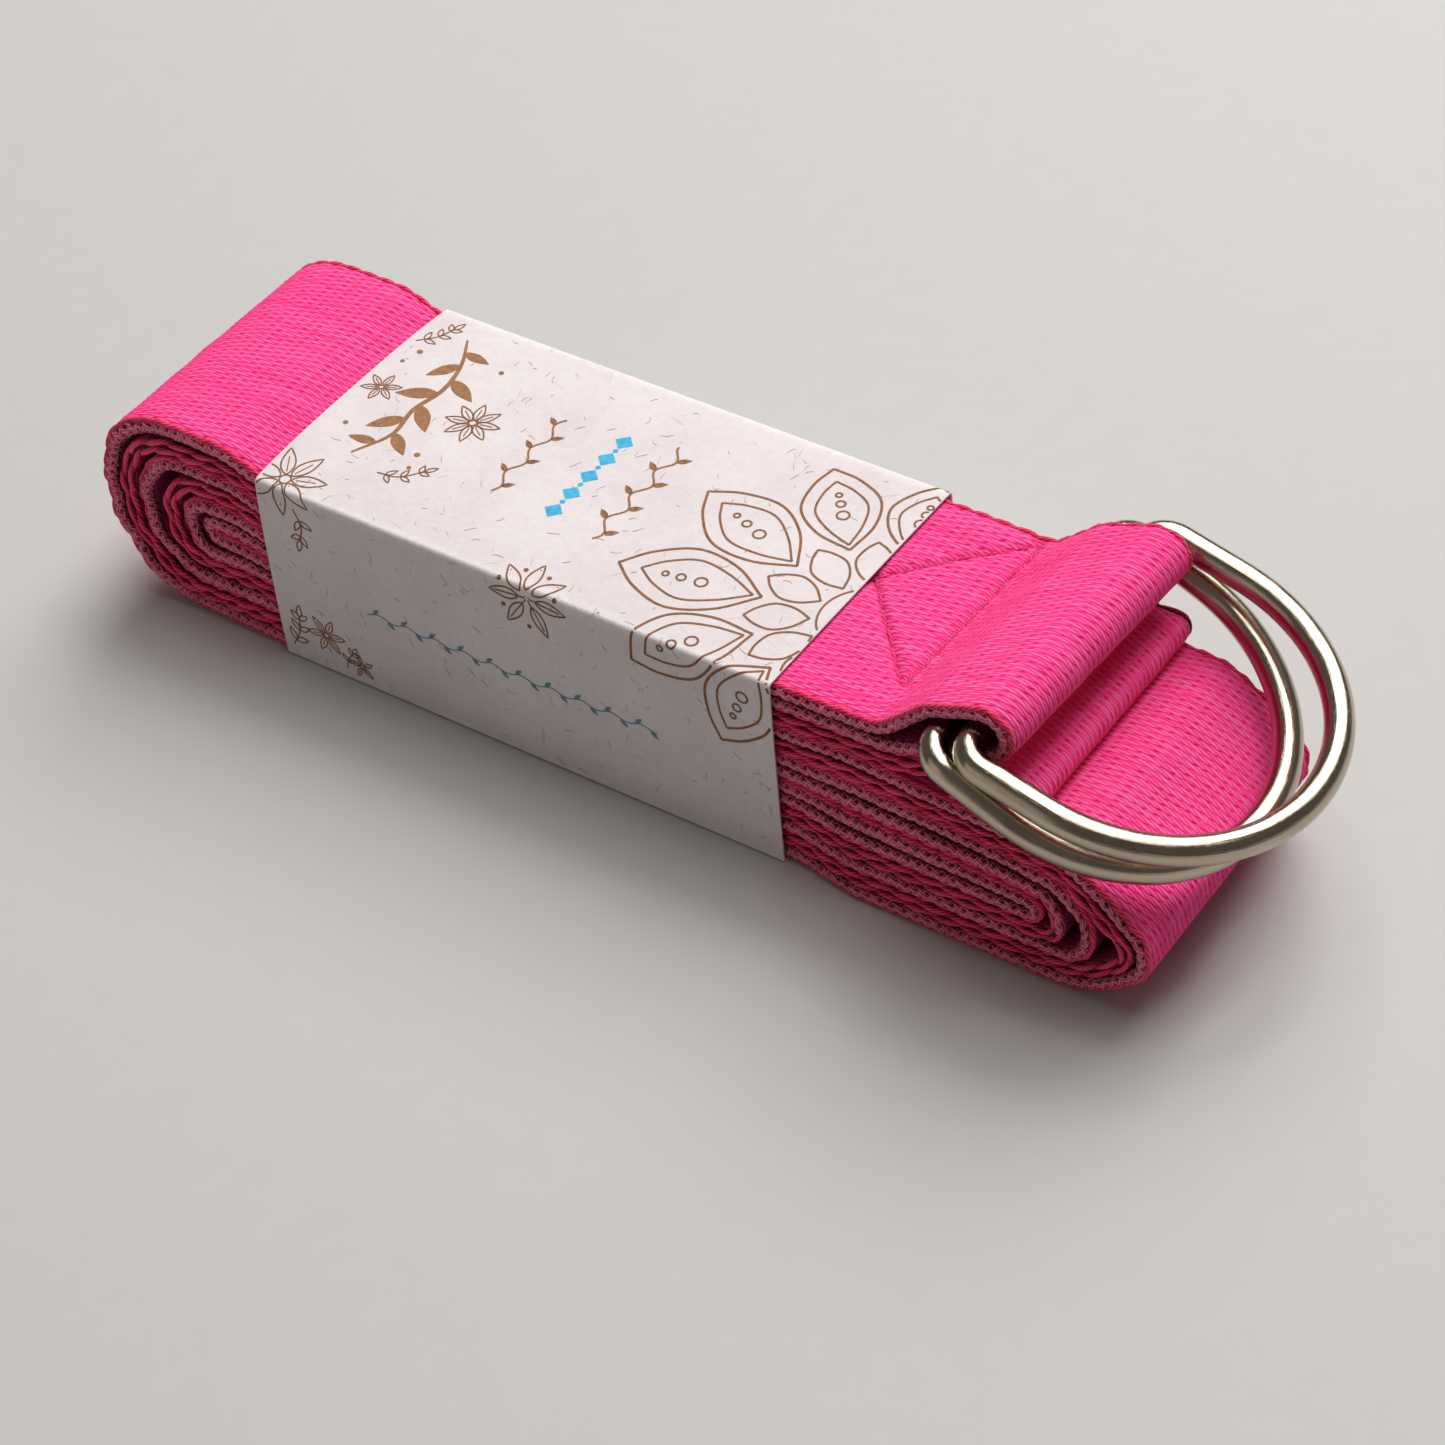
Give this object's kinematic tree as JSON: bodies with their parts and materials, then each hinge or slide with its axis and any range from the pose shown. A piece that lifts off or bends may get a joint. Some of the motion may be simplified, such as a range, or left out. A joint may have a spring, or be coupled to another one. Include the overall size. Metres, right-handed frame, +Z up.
{
  "type": "stretching strap",
  "caption": "Cotton webbing strap folded in half and wound into a flat roll, held by a paper sleeve, with double D-rings in a box-stitched loop at its end.",
  "frame": {"origin": "under the middle of the whole object, on the surface it lies on", "axes": "+X along the roll towards the D-rings, +Y across the webbing, +Z up"},
  "size_m": [0.1604, 0.047, 0.035],
  "materials": {
    "webbing": "matte woven cotton",
    "nickel": "polished nickel plate",
    "thread": "matte twisted thread",
    "paper": "uncoated recycled paper",
    "glue": "dried glue"
  },
  "bodies": {
    "roll": {"strap_webbing": "webbing", "box_x_stitching": "thread", "tail_hem_stitching": "thread"},
    "upper_ring": {"upper_d_ring": "nickel"},
    "lower_ring": {"lower_d_ring": "nickel"},
    "sleeve": {"paper_sleeve": "paper", "sleeve_glue_line": "glue"}
  },
  "joints": [
    {"name": "upper_ring_swing", "type": "hinge", "parent": "roll", "child": "upper_ring", "pos_m": [0.04705, 0, 0.0314], "axis": [0, -1, 0], "range_deg": [0, 155]},
    {"name": "lower_ring_swing", "type": "hinge", "parent": "roll", "child": "lower_ring", "pos_m": [0.04265, 0, 0.02975], "axis": [0, -1, 0], "range_deg": [-4, 1]},
    {"name": "sleeve_slide", "type": "slide", "parent": "roll", "child": "sleeve", "axis": [-1, 0, 0], "range_m": [0, 0.104]}
  ]
}
